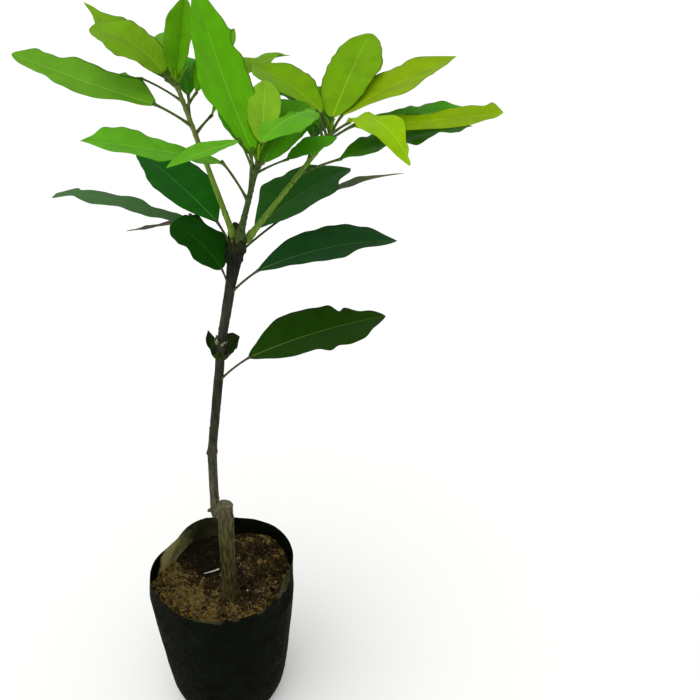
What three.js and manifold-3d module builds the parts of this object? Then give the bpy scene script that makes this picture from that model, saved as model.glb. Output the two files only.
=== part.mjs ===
// A grafted mango sapling growing in a black polythene nursery bag.
// Millimetres, +Z up. The origin is the centre of the bag's flat underside; +X is right, -Y is the front.
// A heading is the compass turn of a direction from +X towards +Y, a climb its angle above level, in degrees.
import * as THREE from "three";
import { mergeVertices } from "three/addons/utils/BufferGeometryUtils.js";
import Module from "manifold-3d";

const wasm = await Module();
wasm.setup();

// ---- Driving dimensions ----

const GAP = 0.3;

const BAG_HEIGHT = 205;
const BAG_RIM_RADIUS = 86;
const BAG_FOOT_RADIUS = 67;
const BAG_BELLY = { depth: 4.5, low: 0.45 };
const BAG_CORNER = 18;
const BAG_WALL = 1.2;
const BAG_RINGS = [18, 60, 100, 140, 175, 190, 205];
const BAG_RIPPLE = { depth: 0.01, folds: 5, pitch: 50 };
const BACK_FLAT = { depth: 0.15, heading: 150, spread: 24 };
const SIDE_BULGE = { depth: 0.07, heading: 190, spread: 38 };
const RIM_TUCK = { depth: 0.14, heading: -20, spread: 20 };
const RIM_WAVE = { height: 2.5, waves: 3, band: 20 };
const SOIL_HEIGHT = 175;
const SOIL_SHRINK = 0.9;
const SOIL_RINGS = [0.82, 0.6, 0.4, 0.2];
const SOIL_CALM = 24;
const SOIL_CRUMB = { height: 2.5, across: 11, back: 13 };
const SOIL_BANK = { height: 12, x: 52, y: 56, spread: 32 };
const POT_SIDES = 32;

const STUB_TOP = 311;
const STUB_RADIUS = 9;
const STUB_AXIS = [[SOIL_HEIGHT, 7, -14], [STUB_TOP, 7, -12]];
const FLARE_RADIUS = 12.5;
const FLARE_HEIGHT = 22;
const FLARE_RIDGES = { depth: 0.14, count: 5 };
const STUB_FACETS = { sides: 14, steps: 8 };

const SCION_FOOT = 295;
const KINK = 380;
const BUD_NODE = 508;
const FORK = 612;
const FORK_TOP = 622;
const SCION_AXIS = [
  [SCION_FOOT, -4, -15], [KINK, -3.5, -13], [BUD_NODE - 33, 8, -12], [BUD_NODE, 11.5, -12],
  [FORK - 52, 21, -12], [FORK, 30.5, -12], [FORK_TOP, 31.5, -12],
];
const SCION_RADII = [
  [SCION_FOOT, 4], [SCION_FOOT + 14, 5], [KINK - 8, 4.8], [KINK, 5.6], [KINK + 8, 4.8],
  [BUD_NODE - 8, 4.5], [BUD_NODE, 5.5], [BUD_NODE + 8, 4.6], [FORK - 40, 5], [FORK - 16, 6.6],
  [FORK - 3, 8.8], [FORK + 5, 7.8], [FORK_TOP, 3.5],
];
const SCION_FACETS = { sides: 10, steps: 32 };

const STALK_RADIUS = 1.4;
const STALK_ROOT_RADIUS = 2;
const STALK_DROOP = 12;
const STALK_FACETS = { sides: 5, steps: 2 };
const BLADE_THICKNESS = 0.013;
const BLADE_WIDEST = 0.52;
const BLADE_TIP_RADIUS = 0.5;
const BLADE_RIPPLE = 0.02;
const BLADE_FACETS = { sides: 8, steps: 8 };
const LEAFLET_FACETS = { sides: 4, steps: 5 };
const LEAFLET_LENGTH = 60;
const LEAF_SEED = 291;
const PATH_STEPS = 16;

// Each shoot: where its axis leaves the fork, its course, its radii, and how far up its leaves begin.
const SHOOTS = {
  left: { start: [30, -12, 613], heading: 156, climb: 69, length: 143, radii: [2.8, 1.8], crown: 90 },
  middle: { start: [33, -16, 620], heading: 303, climb: 65.5, length: 86, radii: [3, 2], crown: 29 },
  right: { start: [38, -10, 614], heading: 14, climb: 49.7, length: 121, radii: [2.8, 1.8], crown: 67 },
};
const SHOOT_FACETS = { sides: 8, steps: 4 };

// A leaf: `at` along its shoot, or up the trunk; its stalk's heading, climb and length; its blade's
// mean heading, mean climb, length and width; how far the blade droops, rolls and folds up, in degrees; how
// soon it fills out, where a lower `full` is a blunter blade; and its share of the margin's waves.
const LEAVES = {
  left: [
    {
      at: 107, stalk: [190, 33, 37], blade: [164, 15, 134, 42],
      droop: -6, roll: -22, fold: 10, full: 0.5, wave: 0.5,
    },
    { at: 128, stalk: [140, 14, 53], blade: [172, -5, 60, 28], droop: 6, roll: 0, fold: 12 },
    {
      at: 140, stalk: [153, 27, 13], blade: [139, 27, 116, 37],
      droop: -4, roll: -6, fold: 14, full: 1.0, wave: 0.6,
    },
    { at: 140, stalk: [185, 48, 17], blade: [167, 28, 72, 42], droop: 50, roll: -20, fold: 8, full: 0.45 },
    { at: 142, stalk: [130, 70, 5], blade: [84, 48, 78, 30], droop: -6, roll: 0, fold: 34, full: 0.6 },
    { at: 139, stalk: [151, 34, 8], blade: [100, 22, 80, 34], droop: 24, roll: 0, fold: 14 },
    { at: 122, stalk: [23, 51, 17], blade: [64, 32, 80, 32], droop: 14, roll: 0, fold: 14 },
    { at: 100, stalk: [53, 29, 25], blade: [50, 19, 116, 22], droop: 52, roll: 4, fold: 14 },
  ],
  middle: [
    {
      at: 48, stalk: [283, 66, 50], blade: [132, 60, 130, 52],
      droop: -14, roll: 8, fold: 10, full: 0.55, wave: 0.35,
    },
    { at: 84, stalk: [20, 72, 16], blade: [88, 45, 58, 31], droop: 20, roll: 0, fold: 22, full: 0.6 },
    { at: 80, stalk: [350, 30, 7], blade: [52, 34, 68, 44], droop: 20, roll: 14, fold: 16, full: 0.6 },
    { at: 72, stalk: [15, 20, 30], blade: [23, 16, 48, 24], droop: 10, roll: 14, fold: 12 },
    { at: 42, stalk: [210, 59, 44], blade: [207, 16, 117, 44], droop: 8, roll: -16, fold: 14, wave: 0.5 },
    { at: 70, stalk: [241, 59, 41], blade: [222, -6, 70, 21], droop: 10, roll: -10, fold: 12, wave: 0.5 },
  ],
  right: [
    { at: 119, stalk: [150, 64, 20], blade: [148, 25, 80, 47], droop: 24, roll: -8, fold: 12, wave: 0.6 },
    { at: 115, stalk: [246, 48, 39], blade: [238, -4, 84, 36], droop: 36, roll: -22, fold: 8, full: 0.65 },
    {
      at: 120, stalk: [80, 64, 14], blade: [66, 32, 107, 51],
      droop: 10, roll: 0, fold: 10, full: 0.55, wave: 0.5,
    },
    { at: 119, stalk: [27, 54, 19], blade: [24, 20, 120, 46], droop: 12, roll: 8, fold: 14, wave: 0.3 },
    {
      at: 117, stalk: [334, 37, 24], blade: [300, -10, 95, 36],
      droop: 84, roll: 10, fold: 12, full: 0.65, wave: 0.5,
    },
    {
      at: 108, stalk: [21, 25, 34], blade: [352, 7, 126, 38],
      droop: -6, roll: 20, fold: 10, full: 0.5, wave: 0.5,
    },
    { at: 104, stalk: [37, 20, 49], blade: [15, 0, 134, 38], droop: 14, roll: 0, fold: 14 },
    { at: 75, stalk: [21, 14, 42], blade: [19, 8, 134, 50], droop: 16, roll: 6, fold: 14 },
  ],
};

// The leaves on the far side of each shoot, set round it by the golden angle within a spread of headings.
const FAR_LEAVES = {
  left: { count: 2, from: 96, spread: 30, climb: 14, length: 76, width: 32 },
  middle: { count: 2, from: 70, spread: 50, climb: 24, length: 80, width: 32 },
  right: { count: 3, from: 76, spread: 40, climb: 12, length: 100, width: 36 },
};
const FAR_STALK = { low: [30, 30], high: [50, 14] };
const GOLDEN_ANGLE = 137.5;
const TUFT = { leaflets: 3, length: 18, radius: 1.7, end: 0.5 };

// The leaves that stand alone on the trunk, each a node of its own.
const TRUNK_LEAVES = {
  fork_leaf_right: {
    at: 604, stalk: [40, 36, 30], blade: [41, 15, 125, 58],
    droop: 22, roll: 12, fold: 14, full: 0.75, wave: 0.6,
  },
  fork_leaf_far_right: {
    at: 600, stalk: [48, 15, 93], blade: [26, 8.5, 122, 30],
    droop: 24, roll: -14, fold: 8, wave: 0.4,
  },
  fork_leaf_back_left: {
    at: 603, stalk: [134, 44, 35], blade: [137, 21, 122, 54],
    droop: 16, roll: -12, fold: 12, wave: 0.6,
  },
  fork_leaf_low: {
    at: 566, stalk: [237, 68, 29], blade: [156, 35, 63, 37],
    droop: 44, roll: -20, fold: 6, full: 0.5, wave: 0.5,
  },
  fork_leaf_left: {
    at: 598, stalk: [138, 17, 62], blade: [166, 8.5, 139, 41],
    droop: 23, roll: 6, fold: 2, full: 0.45, wave: 0.35,
  },
  fork_leaf_far_left: {
    at: 602, stalk: [126, 10, 81], blade: [138.5, -21.5, 118, 11],
    droop: -6, roll: 25, fold: 4, wave: 0.3,
  },
  upper_stem_leaf: {
    at: 561, stalk: [333, 45, 46], blade: [16, 6, 136, 54],
    droop: 26, roll: 12, fold: 12, wave: 0.6,
  },
  lower_stem_leaf: {
    at: 466, stalk: [335, 46, 53], blade: [18, 9, 143, 58],
    droop: 16, roll: 14, fold: 12, full: 0.65, wave: 0.6,
  },
  bud_leaflet_left: {
    at: 492, stalk: [190, 45, 8], blade: [172, 80, 28, 12],
    droop: -24, roll: -50, fold: 30,
  },
  bud_leaflet_right: {
    at: 493, stalk: [350, 30, 12], blade: [354, 62, 24, 23],
    droop: 60, roll: 50, fold: 30,
  },
};

const COLOURS = {
  bag: 0x16180f,
  soil: 0x46391c,
  bark: 0x45443a,
  shoot: 0x60782f,
  young: 0x4f9a1c,
  old: 0x1d4a1b,
};

// ---- Small tools ----

const RADIANS = Math.PI / 180;

// The same numbers every time, from 0 to 1, for the seed given.
function seeded(seed) {
  let state = seed;
  return () => {
    state = (state + 0x6d2b79f5) | 0;
    let mixed = Math.imul(state ^ (state >>> 15), 1 | state);
    mixed = (mixed + Math.imul(mixed ^ (mixed >>> 7), 61 | mixed)) ^ mixed;
    return ((mixed ^ (mixed >>> 14)) >>> 0) / 4294967296;
  };
}

// Reads rows of [key, value, ...] at a key, in straight lines between the rows.
function along(rows, key) {
  const next = rows.findIndex((row) => row[0] >= key);
  if (next <= 0) return (next === 0 ? rows[0] : rows.at(-1)).slice(1);
  const [low, high] = [rows[next - 1], rows[next]];
  const share = (key - low[0]) / (high[0] - low[0]);
  return low.slice(1).map((value, i) => value + share * (high[i + 1] - value));
}

function direction(heading, climb) {
  const level = Math.cos(climb * RADIANS);
  return new THREE.Vector3(
    level * Math.cos(heading * RADIANS),
    level * Math.sin(heading * RADIANS),
    Math.sin(climb * RADIANS),
  );
}

// A geometry as a solid, its shared vertices merged.
function solid(geometry) {
  const bare = geometry.clone();
  bare.deleteAttribute("normal");
  bare.deleteAttribute("uv");
  const merged = mergeVertices(bare, 1e-4);
  return new wasm.Manifold(
    new wasm.Mesh({
      numProp: 3,
      vertProperties: merged.attributes.position.array,
      triVerts: new Uint32Array(merged.index.array),
    }),
  );
}

function mesh(name, body, colour, roughness) {
  const result = body.getMesh();
  const geometry = new THREE.BufferGeometry();
  geometry.setAttribute("position", new THREE.BufferAttribute(result.vertProperties, 3));
  geometry.setIndex(new THREE.BufferAttribute(result.triVerts, 1));
  geometry.computeVertexNormals();
  const material = new THREE.MeshStandardMaterial({ color: colour, roughness, metalness: 0 });
  const made = new THREE.Mesh(geometry, material);
  made.name = name;
  return made;
}

// A path that bends evenly. Its heading and climb are those of its middle; t runs from 0 to 1.
function bentPath(start, [heading, climb, length], { droop = 0, roll = 0 } = {}) {
  return (t) => {
    const at = start.clone();
    for (let i = 0; i < PATH_STEPS; i++) {
      const middle = ((i + 0.5) / PATH_STEPS) * t;
      at.addScaledVector(direction(heading, climb - droop * (middle - 0.5)), (length * t) / PATH_STEPS);
    }
    const tangent = direction(heading, climb - droop * (t - 0.5));
    const side = direction(heading - 90, 0).applyAxisAngle(tangent, roll * RADIANS);
    return { at, side, up: new THREE.Vector3().crossVectors(side, tangent) };
  };
}

function part(path, from, to) {
  return (t) => path(from + (to - from) * t);
}

// A path straight up through axis rows of [height, x, y].
function columnPath(rows, from, to) {
  return (t) => {
    const height = from + (to - from) * t;
    const [x, y] = along(rows, height);
    const at = new THREE.Vector3(x, y, height);
    return { at, side: new THREE.Vector3(1, 0, 0), up: new THREE.Vector3(0, -1, 0) };
  };
}

// Splits the quads on a cylinder's underside along the same diagonals as those above them, so that the two
// skins of a thin, twisted section never cross.
function matchDiagonals(geometry, sides, steps) {
  const corners = geometry.index.array;
  for (let quad = (sides / 4) * steps; quad < ((3 * sides) / 4) * steps; quad++) {
    const [a, b, d, , c] = corners.slice(6 * quad, 6 * quad + 5);
    corners.set([a, b, c, a, c, d], 6 * quad);
  }
}

// Bends a unit cylinder along a path. section(t, angle) gives how far across and out its skin lies there.
function sweep(path, { sides, steps }, section) {
  const geometry = new THREE.CylinderGeometry(1, 1, 1, sides, steps);
  if (sides % 4 === 0) matchDiagonals(geometry, sides, steps);
  const place = geometry.attributes.position;
  for (let i = 0; i < place.count; i++) {
    const t = place.getY(i) + 0.5;
    const reach = Math.hypot(place.getX(i), place.getZ(i));
    const { at, side, up } = path(t);
    const [across, out] = section(t, Math.atan2(place.getZ(i), place.getX(i)));
    at.addScaledVector(side, across * reach).addScaledVector(up, out * reach);
    place.setXYZ(i, at.x, at.y, at.z);
  }
  return solid(geometry);
}

function round(radius) {
  return (t, angle) => [radius(t, angle) * Math.cos(angle), radius(t, angle) * Math.sin(angle)];
}

// ---- Bag and soil ----

// A smooth dip, deepest at its heading and fading out to each side.
function dip(angle, { depth, heading, spread }) {
  const turn = angle - heading * RADIANS;
  const away = Math.atan2(Math.sin(turn), Math.cos(turn));
  return depth * Math.exp(-((away / (spread * RADIANS)) ** 2));
}

// How far the film stands out of true round, as a share of the radius: it is pressed flat at the back
// left, the soil bulges it at the left, and above the soil its rim is tucked in at the right.
function slack(angle, height) {
  const free = height / BAG_HEIGHT;
  const bare = Math.max(height - SOIL_HEIGHT, 0) / (BAG_HEIGHT - SOIL_HEIGHT);
  const ripple = BAG_RIPPLE.depth * Math.sin(BAG_RIPPLE.folds * angle + height / BAG_RIPPLE.pitch);
  const pressed = free * (ripple - dip(angle, BACK_FLAT)) - bare * dip(angle, RIM_TUCK);
  return 1 + pressed + free * (1 - bare) * dip(angle, SIDE_BULGE);
}

// The wall's radius at a height: a straight taper with the belly of the filled bag low on it.
function wallReach(height) {
  const rise = (height - BAG_CORNER) / (BAG_HEIGHT - BAG_CORNER);
  const upright = BAG_FOOT_RADIUS + (BAG_RIM_RADIUS - BAG_FOOT_RADIUS) * rise;
  return upright + BAG_BELLY.depth * Math.sin(Math.PI * rise ** BAG_BELLY.low);
}

// The profile of the bag's wall, `inset` in from its outside, from the underside up to `top`.
function wallProfile(inset, top) {
  const corner = [-90, -68, -45, -22].map((turn) => {
    const reach = BAG_CORNER - inset;
    const across = BAG_FOOT_RADIUS - BAG_CORNER + reach * Math.cos(turn * RADIANS);
    return new THREE.Vector2(across, BAG_CORNER + reach * Math.sin(turn * RADIANS));
  });
  const wall = BAG_RINGS.filter((height) => height <= top).map(
    (height) => new THREE.Vector2(wallReach(height) - inset, height),
  );
  return [...corner, ...wall];
}

function slackLathe(profile, lift) {
  const geometry = new THREE.LatheGeometry(profile, POT_SIDES);
  geometry.rotateX(Math.PI / 2);
  const place = geometry.attributes.position;
  for (let i = 0; i < place.count; i++) {
    const [x, y, z] = [place.getX(i), place.getY(i), place.getZ(i)];
    const loose = slack(Math.atan2(y, x), z);
    place.setXYZ(i, x * loose, y * loose, z + lift(x, y, z));
  }
  return solid(geometry);
}

function makeBag() {
  const outside = wallProfile(0, BAG_HEIGHT);
  const inside = wallProfile(BAG_WALL, BAG_HEIGHT).reverse();
  const profile = [new THREE.Vector2(0, 0), ...outside, ...inside, new THREE.Vector2(0, BAG_WALL)];
  const rimWave = (x, y, z) => {
    const share = Math.max(1 - (BAG_HEIGHT - z) / RIM_WAVE.band, 0);
    return RIM_WAVE.height * share * Math.sin(RIM_WAVE.waves * Math.atan2(y, x));
  };
  return slackLathe(profile, rimWave);
}

function makeSoil() {
  const side = wallProfile(BAG_WALL + SOIL_SHRINK, SOIL_HEIGHT);
  for (const point of side.slice(0, -1)) point.y -= SOIL_SHRINK - GAP;
  const edge = side.at(-1).x;
  const top = SOIL_RINGS.map((share) => new THREE.Vector2(edge * share, SOIL_HEIGHT));
  const floor = new THREE.Vector2(0, BAG_WALL + GAP);
  const profile = [floor, ...side, ...top, new THREE.Vector2(0, SOIL_HEIGHT)];
  const [stubX, stubY] = along(STUB_AXIS, SOIL_HEIGHT);
  // Level round the trunk's foot, banked up against the bag at the back right, crumbly between.
  const surface = (x, y, z) => {
    if (z < SOIL_HEIGHT - GAP) return 0;
    const calm = Math.min(Math.max(Math.hypot(x - stubX, y - stubY) / SOIL_CALM - 1, 0), 1);
    const far = Math.hypot(x - SOIL_BANK.x, y - SOIL_BANK.y) / SOIL_BANK.spread;
    const bank = SOIL_BANK.height * Math.exp(-(far ** 2));
    const atWall = Math.hypot(x, y) > 0.9 * edge * slack(Math.atan2(y, x), z);
    const crumb = SOIL_CRUMB.height * Math.sin(x / SOIL_CRUMB.across) * Math.cos(y / SOIL_CRUMB.back);
    return calm * (bank + (atWall ? 0 : crumb));
  };
  return slackLathe(profile, surface);
}

// ---- Trunk ----

// The trunk: the rootstock's stub, cut off square, and the scion joined to its left side. `grow` thickens it.
function makeTrunk(grow) {
  const stubPath = columnPath(STUB_AXIS, SOIL_HEIGHT + GAP - grow, STUB_TOP + grow);
  const stubRadius = (t, angle) => {
    const flare = Math.max(1 - (t * (STUB_TOP - SOIL_HEIGHT)) / FLARE_HEIGHT, 0) ** 2;
    const ridged = 1 + FLARE_RIDGES.depth * flare * Math.cos(FLARE_RIDGES.count * angle);
    return (STUB_RADIUS + (FLARE_RADIUS - STUB_RADIUS) * flare) * ridged + grow;
  };
  const scionPath = columnPath(SCION_AXIS, SCION_FOOT - grow, FORK_TOP + grow);
  const scionRadius = (t) => along(SCION_RADII, SCION_FOOT + (FORK_TOP - SCION_FOOT) * t)[0] + grow;
  const stub = sweep(stubPath, STUB_FACETS, round(stubRadius));
  return stub.add(sweep(scionPath, SCION_FACETS, round(scionRadius)));
}

// ---- Leaves ----

// The share of the full width at t along a blade: a wedge, then a full middle, then a drawn-out tip.
function bladeShare(t, full) {
  const rise = Math.sin((Math.PI / 2) * Math.min(t / BLADE_WIDEST, 1));
  const fall = Math.cos((Math.PI / 2) * Math.max((t - BLADE_WIDEST) / (1 - BLADE_WIDEST), 0));
  return rise ** full * fall ** (full + 0.1);
}

function makeBlade(start, leaf, number) {
  const [heading, climb, length, width] = leaf.blade;
  const path = bentPath(start, [heading, climb, length], leaf);
  const fold = (leaf.fold ?? 12) * RADIANS;
  const random = seeded(LEAF_SEED + number);
  const ripple = BLADE_RIPPLE * length * (0.5 + random()) * (leaf.wave ?? 1);
  const waves = 2 + random();
  const phases = [random(), random()];
  const facets = length < LEAFLET_LENGTH ? LEAFLET_FACETS : BLADE_FACETS;
  return sweep(path, facets, (t, angle) => {
    const share = bladeShare(t, leaf.full ?? 0.8);
    const half = Math.max((share * width) / 2, t < BLADE_WIDEST ? STALK_RADIUS : BLADE_TIP_RADIUS);
    const edge = Math.cos(angle);
    const phase = phases[edge > 0 ? 0 : 1];
    const wave = ripple * share * Math.abs(edge) ** 3 * Math.sin(2 * Math.PI * (waves * t + phase));
    const thick = (length * BLADE_THICKNESS * (0.5 + 0.5 * share)) / 2;
    const lift = Math.abs(edge) * half * Math.sin(fold) + wave;
    return [edge * half * Math.cos(fold), thick * Math.sin(angle) + lift];
  });
}

// A leaf on its stalk, its stalk rooted at `root` inside the limb that bears it. Its number seeds its waves.
function makeLeaf(root, leaf, number) {
  const stalkPath = bentPath(root, leaf.stalk, { droop: STALK_DROOP });
  const radius = (t) => STALK_RADIUS + (STALK_ROOT_RADIUS - STALK_RADIUS) * (1 - t) ** 3;
  const stalk = sweep(stalkPath, STALK_FACETS, round(radius));
  return stalk.add(makeBlade(stalkPath(0.95).at, leaf, number));
}

// ---- Shoots and crowns ----

function shootPath(shoot) {
  return bentPath(new THREE.Vector3(...shoot.start), [shoot.heading, shoot.climb, shoot.length]);
}

// The stretch of a shoot from `from` to `to` millimetres up it.
function makeStem(shoot, from, to) {
  const [thick, thin] = shoot.radii;
  const [low, high] = [from / shoot.length, to / shoot.length];
  const radius = (t) => thick + (thin - thick) * (low + (high - low) * t);
  return sweep(part(shootPath(shoot), low, high), SHOOT_FACETS, round(radius));
}

// The far side's leaves. The higher up the shoot, the steeper the leaf and the shorter its stalk.
function farLeaves(shoot, rule) {
  const random = seeded(shoot.heading);
  return Array.from({ length: rule.count }, (_, i) => {
    const rise = (i + 0.5) / rule.count;
    const heading = rule.from + ((i * GOLDEN_ANGLE) % rule.spread);
    const climb = rule.climb * (0.6 + 0.8 * rise) + 6 * random();
    const [stalkClimb, stalkLength] = FAR_STALK.low.map((low, k) => low + (FAR_STALK.high[k] - low) * rise);
    return {
      at: shoot.crown + (shoot.length - shoot.crown) * (0.3 + 0.6 * rise),
      stalk: [heading, stalkClimb, stalkLength],
      blade: [heading + 10 * random(), climb, rule.length * (0.9 + 0.2 * random()), rule.width],
      droop: 20 + 10 * random(),
    };
  });
}

// The unopened leaflets round a shoot's tip, as three-sided slips.
function makeTuft(tip, number) {
  const random = seeded(LEAF_SEED + number);
  const radius = (t) => TUFT.end + (TUFT.radius - TUFT.end) * Math.sin(Math.PI * t);
  return Array.from({ length: TUFT.leaflets }, (_, i) => {
    const heading = i * GOLDEN_ANGLE + 30 * random();
    const climb = 50 + 25 * random();
    const length = TUFT.length * (0.7 + 0.5 * random());
    return sweep(bentPath(tip, [heading, climb, length]), { sides: 3, steps: 2 }, round(radius));
  });
}

// A shoot's mass of leaves: its stem, its leaves and its tip. A leaf that touches a neighbour is left out.
function makeCrown(shoot, leaves, first, neighbours) {
  const path = shootPath(shoot);
  const free = (body) => neighbours.every((neighbour) => body.intersect(neighbour).isEmpty());
  const bodies = leaves
    .map((leaf, i) => makeLeaf(path(leaf.at / shoot.length).at, leaf, first + i))
    .concat(makeTuft(path(0.99).at, first))
    .filter(free);
  return bodies.reduce((crown, body) => crown.add(body), makeStem(shoot, shoot.crown + GAP, shoot.length));
}

// ---- The plant in its bag ----

const trunkRoom = makeTrunk(GAP);
const trunkLeaves = Object.entries(TRUNK_LEAVES).map(([name, leaf], i) => {
  const [x, y] = along(SCION_AXIS, leaf.at);
  return [name, makeLeaf(new THREE.Vector3(x, y, leaf.at), leaf, i).subtract(trunkRoom)];
});
const boughs = Object.entries(SHOOTS).map(([side, shoot]) => [
  `${side}_shoot`,
  makeStem(shoot, 0, shoot.crown).subtract(trunkRoom),
]);

const crowns = [];
let leafCount = trunkLeaves.length;
for (const [side, shoot] of Object.entries(SHOOTS)) {
  const leaves = LEAVES[side].concat(farLeaves(shoot, FAR_LEAVES[side]));
  const neighbours = [...trunkLeaves, ...boughs, ...crowns].map(([, body]) => body);
  crowns.push([`${side}_crown`, makeCrown(shoot, leaves, leafCount, neighbours)]);
  leafCount += leaves.length;
}

const sapling = new THREE.Group();
sapling.name = "mango_sapling";
sapling.add(mesh("bag", makeBag(), COLOURS.bag, 0.45));
sapling.add(mesh("soil", makeSoil(), COLOURS.soil, 0.95));
sapling.add(mesh("trunk", makeTrunk(0), COLOURS.bark, 0.85));
for (const [name, body] of boughs) sapling.add(mesh(name, body, COLOURS.shoot, 0.6));
for (const [name, body] of crowns) sapling.add(mesh(name, body, COLOURS.young, 0.5));
for (const [name, body] of trunkLeaves) sapling.add(mesh(name, body, COLOURS.old, 0.5));

export default sapling;
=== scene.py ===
"""A grafted mango sapling in its black nursery bag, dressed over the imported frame.

Sizes are in millimetres and degrees, as in the part's source, and pieces become metres as they are made.
A heading turns from +X towards +Y, and a climb is the angle above level.
"""
import math

import bpy
import numpy as np
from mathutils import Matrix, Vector


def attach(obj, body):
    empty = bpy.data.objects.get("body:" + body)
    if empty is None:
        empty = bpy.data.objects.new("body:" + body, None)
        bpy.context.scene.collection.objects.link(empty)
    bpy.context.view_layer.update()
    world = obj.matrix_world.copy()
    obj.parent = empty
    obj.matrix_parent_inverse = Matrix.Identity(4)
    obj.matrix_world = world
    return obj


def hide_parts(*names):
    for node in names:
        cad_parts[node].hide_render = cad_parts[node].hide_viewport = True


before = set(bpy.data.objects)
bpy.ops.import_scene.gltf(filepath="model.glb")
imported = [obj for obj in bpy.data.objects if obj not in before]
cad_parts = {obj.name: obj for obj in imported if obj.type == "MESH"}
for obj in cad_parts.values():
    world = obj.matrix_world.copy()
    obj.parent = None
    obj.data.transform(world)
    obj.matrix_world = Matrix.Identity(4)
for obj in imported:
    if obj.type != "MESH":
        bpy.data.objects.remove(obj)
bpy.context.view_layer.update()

MM = 0.001
RADIANS = math.pi / 180
GOLDEN_ANGLE = 137.5
SKIN_STEP = 0.8

# ---- Sizes that the solids have too ----

BAG_HEIGHT = 205
BAG_RIM_RADIUS = 86
BAG_FOOT_RADIUS = 67
BAG_BELLY = {"depth": 4.5, "low": 0.45}
BAG_CORNER = 18
BAG_RIPPLE = {"depth": 0.01, "folds": 5, "pitch": 50}
BACK_FLAT = {"depth": 0.15, "heading": 150, "spread": 24}
SIDE_BULGE = {"depth": 0.07, "heading": 190, "spread": 38}
RIM_TUCK = {"depth": 0.14, "heading": -20, "spread": 20}
SOIL_BANK = {"height": 12, "x": 52, "y": 56, "spread": 32}
RIM_WAVE = {"height": 2.5, "waves": 3, "band": 20}
SOIL_HEIGHT = 175

STUB_TOP = 311
STUB_RADIUS = 9
STUB_AXIS = [(SOIL_HEIGHT, 7, -14), (STUB_TOP, 7, -12)]
FLARE_RADIUS = 12.5
FLARE_HEIGHT = 22
FLARE_RIDGES = {"depth": 0.14, "count": 5}

SCION_FOOT = 295
KINK = 380
BUD_NODE = 508
FORK = 612
FORK_TOP = 622
SCION_AXIS = [
    (SCION_FOOT, -4, -15), (KINK, -3.5, -13), (BUD_NODE - 33, 8, -12), (BUD_NODE, 11.5, -12),
    (FORK - 52, 21, -12), (FORK, 30.5, -12), (FORK_TOP, 31.5, -12),
]
SCION_RADII = [
    (SCION_FOOT, 4), (SCION_FOOT + 14, 5), (KINK - 8, 4.8), (KINK, 5.6), (KINK + 8, 4.8),
    (BUD_NODE - 8, 4.5), (BUD_NODE, 5.5), (BUD_NODE + 8, 4.6), (FORK - 40, 5), (FORK - 16, 6.6),
    (FORK - 3, 8.8), (FORK + 5, 7.8), (FORK_TOP, 3.5),
]

STALK_DROOP = 12
BLADE_WIDEST = 0.52
BLADE_RIPPLE = 0.02
LEAF_SEED = 291

SHOOTS = {
    "left": {"start": (30, -12, 613), "course": (156, 69, 143), "radii": (2.8, 1.8), "crown": 90},
    "middle": {"start": (33, -16, 620), "course": (303, 65.5, 86), "radii": (3, 2), "crown": 29},
    "right": {"start": (38, -10, 614), "course": (14, 49.7, 121), "radii": (2.8, 1.8), "crown": 67},
}


def leaf(at, stalk, blade, droop=0, roll=0, fold=12, full=0.8, tone="fresh", wave=1.0, edge=()):
    """One leaf: its place along the limb, stalk and blade, as in the part's source, then its looks.

    wave is its share of the margin's waves. edge holds the margin's bites and lobes: (share along the blade,
    side, depth as a share of the width, spread). Side 1 is the right one, seen from above with the tip ahead.
    """
    return dict(at=at, stalk=stalk, blade=blade, droop=droop, roll=roll, fold=fold, full=full, tone=tone,
                wave=wave, edge=edge)


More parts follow.
